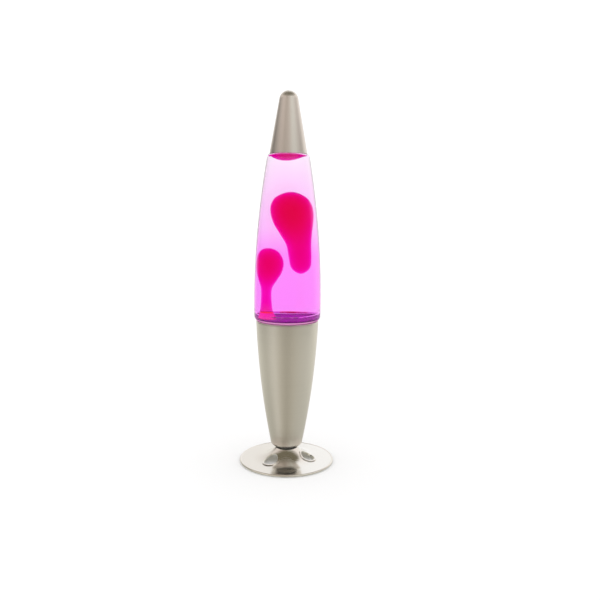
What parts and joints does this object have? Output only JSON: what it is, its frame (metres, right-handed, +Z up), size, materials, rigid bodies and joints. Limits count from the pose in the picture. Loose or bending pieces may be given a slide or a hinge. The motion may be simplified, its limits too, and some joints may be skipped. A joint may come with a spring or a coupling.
{
  "type": "lava lamp",
  "caption": "Lava lamp: a tapered bottle of violet liquid and pink wax on a spun metal base and flared foot, with a lift-off bottle and cap.",
  "frame": {"origin": "centre of the foot on the surface it stands on", "axes": "+Z up along the lamp's axis; -Y is the side shown in the picture; +X is the viewer's right"},
  "size_m": [0.1064, 0.1064, 0.41],
  "materials": {
    "satin_aluminium": "fine brushed satin, warm grey",
    "polished_aluminium": "spun and polished",
    "rubber": "matt",
    "brass": "plain turned brass",
    "zinc_steel": "zinc plated steel",
    "grommet_plastic": "moulded, satin",
    "holder_plastic": "moulded thermoset, satin",
    "bulb_metal": "rolled and bright",
    "black_glass": "glossy",
    "bulb_glass": "silvered inside below the head, frosted face",
    "stem_glass": "clear",
    "filament_wire": "drawn wire",
    "clear_glass": "clear and smooth",
    "liquid": "clear violet-pink liquid",
    "coil_wire": "drawn wire",
    "wax": "translucent, smooth",
    "liner_plastic": "soft, matt",
    "crown_tin": "lacquered tinplate"
  },
  "bodies": {
    "base": {"foot": "polished_aluminium", "rubber_feet": "rubber", "neck_spacer": "grommet_plastic", "threaded_tube": "brass", "lower_washer": "zinc_steel", "lower_nut": "brass", "upper_washer": "zinc_steel", "upper_nut": "brass", "base_cone": "satin_aluminium", "cord_grommet": "grommet_plastic", "lampholder_body": "holder_plastic", "lampholder_shell": "brass", "shell_wire_lug": "brass", "terminal_screws": "zinc_steel", "contact_spring": "zinc_steel"},
    "contact": {"centre_contact": "brass"},
    "bulb": {"bulb_tip_contact": "bulb_metal", "bulb_insulator": "black_glass", "bulb_screw_cap": "bulb_metal", "bulb_glass": "bulb_glass", "bulb_stem": "stem_glass", "bulb_filament": "filament_wire"},
    "bottle": {"glass_bottle": "clear_glass", "liquid": "liquid", "wire_coil": "coil_wire", "wax_rising": "wax", "wax_top": "wax", "crown_liner": "liner_plastic", "crown_cap": "crown_tin"},
    "wax_drop": {"wax_blob": "wax"},
    "cap": {"top_cap": "satin_aluminium"}
  },
  "joints": [
    {"name": "contact_rise", "type": "slide", "parent": "base", "child": "contact", "axis": [0, 0, 1], "range_m": [0, 0.0026], "deforming": ["contact_spring"]},
    {"name": "bulb_turn", "type": "hinge", "parent": "contact", "child": "bulb", "pos_m": [0, 0, 0.047], "axis": [0, 0, 1], "range_deg": [0, 320]},
    {"name": "bottle_lift", "type": "slide", "parent": "base", "child": "bottle", "axis": [0, 0, 1], "range_m": [0, 0.08]},
    {"name": "cap_lift", "type": "slide", "parent": "bottle", "child": "cap", "axis": [0, 0, 1], "range_m": [0, 0.06]},
    {"name": "wax_drift", "type": "slide", "parent": "bottle", "child": "wax_drop", "axis": [0, 0, 1], "range_m": [-0.008, 0.02], "deforming": ["liquid"]}
  ],
  "couplings": [
    {"joint": "contact_rise", "follows": "bulb_turn", "m_per_rad": 0.000449}
  ]
}
